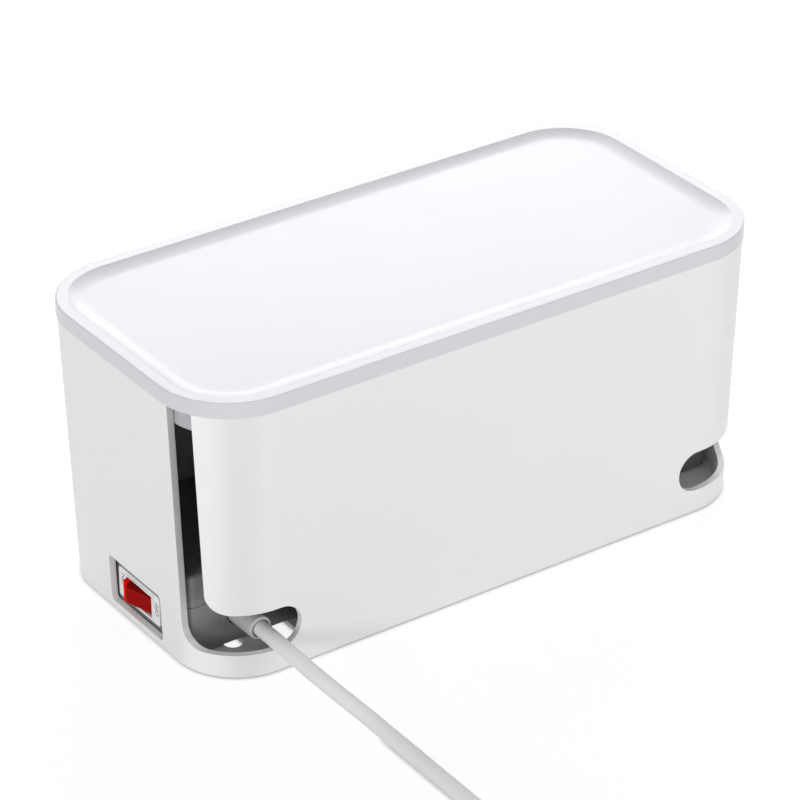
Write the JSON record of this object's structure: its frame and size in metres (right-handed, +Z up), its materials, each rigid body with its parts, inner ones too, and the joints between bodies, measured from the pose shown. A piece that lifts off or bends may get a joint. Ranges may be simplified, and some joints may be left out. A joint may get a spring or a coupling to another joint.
{
  "type": "cable management box",
  "caption": "White tapered box with a lift-off tray lid, two J-shaped cable slots and a power strip inside with a rocker switch and cord.",
  "frame": {"origin": "middle of the box's footprint on the resting plane, measured without the cord and plug", "axes": "+X along the box, away from the switch end; +Y towards the back, away from the cord's side; +Z up"},
  "size_m": [0.3803, 0.4189, 0.1476],
  "materials": {
    "box_white": "fine satin moulding",
    "lid_white": "fine satin moulding",
    "foot_rubber": "matte",
    "strip_grey": "satin",
    "steel": "zinc plated",
    "switch_white": "satin",
    "rocker_red": "glossy, slightly see-through",
    "nylon": "natural nylon",
    "brass": "bare",
    "lamp_glass": "clear glass tube",
    "wire_black": "PVC insulation",
    "wire_white": "PVC insulation",
    "wire_green": "PVC insulation",
    "relief_grey": "matte PVC",
    "cord_grey": "satin PVC jacket",
    "tie_fabric": "woven hook-and-loop",
    "nickel": "nickel plated"
  },
  "bodies": {
    "box": {"box_body": "box_white", "rubber_feet": "foot_rubber", "strip_base": "strip_grey", "strip_cover": "strip_grey", "strip_screws": "steel", "housing_screws": "steel", "switch_frame": "switch_white", "switch_terminals": "brass", "neon_lamp": "lamp_glass", "live_busbar": "brass", "neutral_busbar": "brass", "earth_busbar": "brass", "cord_clamp": "nylon", "clamp_screws": "steel", "supply_wire": "wire_black", "switched_wire": "wire_black", "neutral_wire": "wire_white", "earth_wire": "wire_green", "lamp_wire": "wire_white", "strain_relief": "relief_grey", "power_cord": "cord_grey", "cord_coil": "cord_grey", "cord_tail": "cord_grey", "cord_tie": "tie_fabric", "plug_body": "cord_grey", "plug_blades": "nickel", "plug_ground_pin": "nickel"},
    "lid": {"lid": "lid_white"},
    "rocker": {"switch_rocker": "rocker_red", "switch_plunger": "nylon", "switch_spring": "steel"},
    "contact": {"switch_contact": "brass"}
  },
  "joints": [
    {"name": "lid_lift", "type": "slide", "parent": "box", "child": "lid", "axis": [0, 0, 1], "range_m": [0, 0.12]},
    {"name": "rocker_turn", "type": "hinge", "parent": "box", "child": "rocker", "pos_m": [-0.14985, -0.0027, 0.01555], "axis": [0, 0, -1], "range_deg": [0, 29]},
    {"name": "contact_turn", "type": "hinge", "parent": "box", "child": "contact", "pos_m": [-0.13725, -0.0027, 0.01555], "axis": [0, 0, 1], "range_deg": [0, 14]}
  ],
  "couplings": [
    {"joint": "contact_turn", "follows": "rocker_turn", "ratio": 0.48275}
  ]
}
